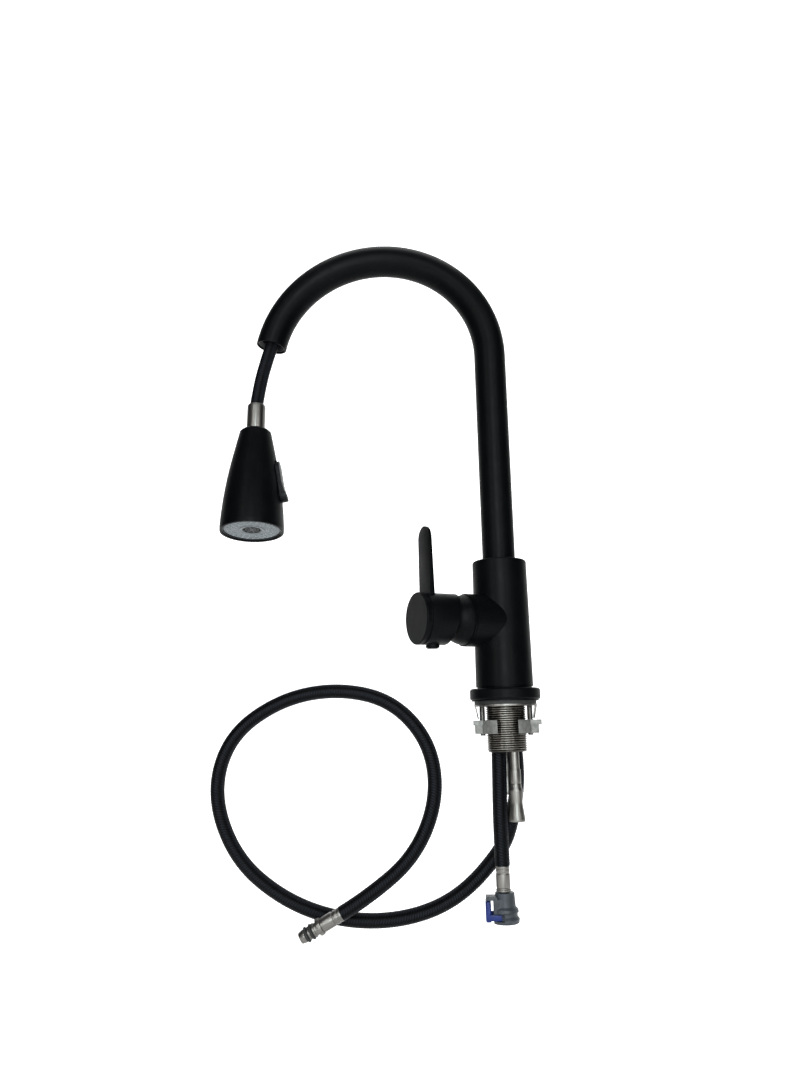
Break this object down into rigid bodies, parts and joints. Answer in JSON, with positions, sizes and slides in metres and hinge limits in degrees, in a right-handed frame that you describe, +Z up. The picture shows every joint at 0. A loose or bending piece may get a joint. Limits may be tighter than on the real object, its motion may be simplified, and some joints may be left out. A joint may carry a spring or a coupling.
{
  "type": "pull-down kitchen faucet",
  "caption": "Single-lever pull-down kitchen faucet with an arched swivel spout, spray head on a braided hose, side handle and threaded deck shank.",
  "frame": {"origin": "on the body axis at the deck plane, which is the underside of the base gasket", "axes": "+Z up along the body, spout towards -X, handle arm towards -X and -Y, 29 degrees from -X"},
  "size_m": [0.2843, 0.0864, 0.6134],
  "materials": {
    "black_paint": "satin",
    "black_rubber": "matte",
    "nickel_thread": "satin",
    "zinc_cast": "matte",
    "bright_steel": "brushed",
    "brass": "satin",
    "white_plastic": "matte",
    "ceramic": "polished",
    "black_plastic": "matte",
    "grey_plastic": "matte",
    "grey_rubber": "matte",
    "slate_plastic": "matte",
    "blue_plastic": "satin",
    "braid": "braided"
  },
  "bodies": {
    "faucet_body": {"base_gasket": "black_rubber", "base_ring": "black_paint", "body_hoses": "braid", "body_shell": "black_paint", "cartridge_housing": "white_plastic", "cartridge_nut": "brass", "cold_inlet_fitting": "bright_steel", "cold_inlet_pipe": "bright_steel", "connector_barb": "black_plastic", "connector_housing": "slate_plastic", "connector_seal": "black_rubber", "dome_cover": "black_paint", "fixed_disc": "ceramic", "hot_inlet_fitting": "bright_steel", "hot_inlet_pipe": "bright_steel", "outlet_ferrule": "bright_steel", "outlet_hose": "braid", "plug_body": "bright_steel", "plug_ferrule": "bright_steel", "plug_seals": "black_rubber", "pullout_hose": "braid", "spout_bearing_sleeve": "white_plastic", "spout_seals": "black_rubber", "spout_top_bush": "white_plastic", "threaded_shank": "nickel_thread", "waterway_core": "brass"},
    "spout": {"spout_tube": "black_paint", "spout_retaining_ring": "bright_steel", "spout_end_insert": "black_plastic", "spout_hose": "braid", "spray_hose_drop": "braid"},
    "hose_end": {"hose_end_ball": "bright_steel"},
    "hose_nut": {"hose_nut": "bright_steel", "ball_seat": "white_plastic", "inlet_washer": "black_rubber"},
    "spray_head": {"head_shell": "black_paint", "rocker_pocket": "black_plastic", "rocker_pin": "bright_steel", "head_inlet": "white_plastic", "check_valve": "white_plastic", "face_plate": "grey_plastic", "nozzle_mat": "grey_rubber", "face_trim": "black_plastic", "aerator_housing": "grey_plastic", "aerator_grid": "black_plastic"},
    "rocker": {"rocker_button": "black_paint"},
    "diverter": {"diverter_spool": "white_plastic"},
    "cartridge_turn": {"cartridge_spindle": "white_plastic", "stem_pin": "bright_steel"},
    "sliding_disc": {"moving_disc": "ceramic", "disc_carrier": "white_plastic"},
    "handle": {"stem": "brass", "handle_lever": "black_paint", "handle_cap": "black_paint", "handle_set_screw": "bright_steel", "set_screw_plug": "black_paint"},
    "deck_clamp": {"deck_washer": "bright_steel", "horseshoe_nut": "zinc_cast", "clamp_screws": "bright_steel"},
    "release_clip": {"connector_clip": "blue_plastic"}
  },
  "joints": [
    {"name": "spout_swivel", "type": "hinge", "parent": "faucet_body", "child": "spout", "pos_m": [0, 0, 0.2], "axis": [0, 0, 1], "continuous": true},
    {"name": "spray_pull", "type": "slide", "parent": "spout", "child": "hose_end", "axis": [0.2079, 0, 0.9781], "range_m": [-0.11, 0.085], "deforming": ["spray_hose_drop"]},
    {"name": "spray_tilt", "type": "hinge", "parent": "hose_end", "child": "hose_nut", "pos_m": [-0.216, 0, 0.271], "axis": [0.45, 0.8879, -0.0956], "range_deg": [-18.7, 14.35]},
    {"name": "spray_swivel", "type": "hinge", "parent": "hose_nut", "child": "spray_head", "pos_m": [-0.21574, -0.00248, 0.24925], "axis": [0.0122, -0.1132, -0.9935], "continuous": true},
    {"name": "mode_rocker", "type": "hinge", "parent": "spray_head", "child": "rocker", "pos_m": [-0.19328, -0.00826, 0.19848], "axis": [0, -0.9936, 0.1132], "range_deg": [-7, 0]},
    {"name": "diverter_shift", "type": "slide", "parent": "spray_head", "child": "diverter", "axis": [0.0122, -0.1132, -0.9935], "range_m": [-0.0031, 0]},
    {"name": "handle_temperature", "type": "hinge", "parent": "faucet_body", "child": "cartridge_turn", "pos_m": [-0.03087, -0.01711, 0.0694], "axis": [-0.8746, -0.4848, 0], "range_deg": [-45, 45]},
    {"name": "handle_lift", "type": "hinge", "parent": "cartridge_turn", "child": "handle", "pos_m": [-0.03087, -0.01711, 0.0694], "axis": [0.4848, -0.8746, 0], "range_deg": [0, 25]},
    {"name": "disc_shift", "type": "slide", "parent": "cartridge_turn", "child": "sliding_disc", "axis": [0, 0, 1], "range_m": [0, 0.0055]},
    {"name": "clamp_travel", "type": "slide", "parent": "faucet_body", "child": "deck_clamp", "axis": [0, 0, 1], "range_m": [-0.013, 0]},
    {"name": "clip_press", "type": "slide", "parent": "faucet_body", "child": "release_clip", "axis": [1, 0, 0], "range_m": [0, 0.0014], "stiffness_N_per_m": 900}
  ],
  "couplings": [
    {"joint": "spray_tilt", "follows": "spray_pull", "rad_per_m": 2.9253},
    {"joint": "diverter_shift", "follows": "mode_rocker", "m_per_rad": 0.025},
    {"joint": "disc_shift", "follows": "handle_lift", "m_per_rad": 0.0124}
  ]
}
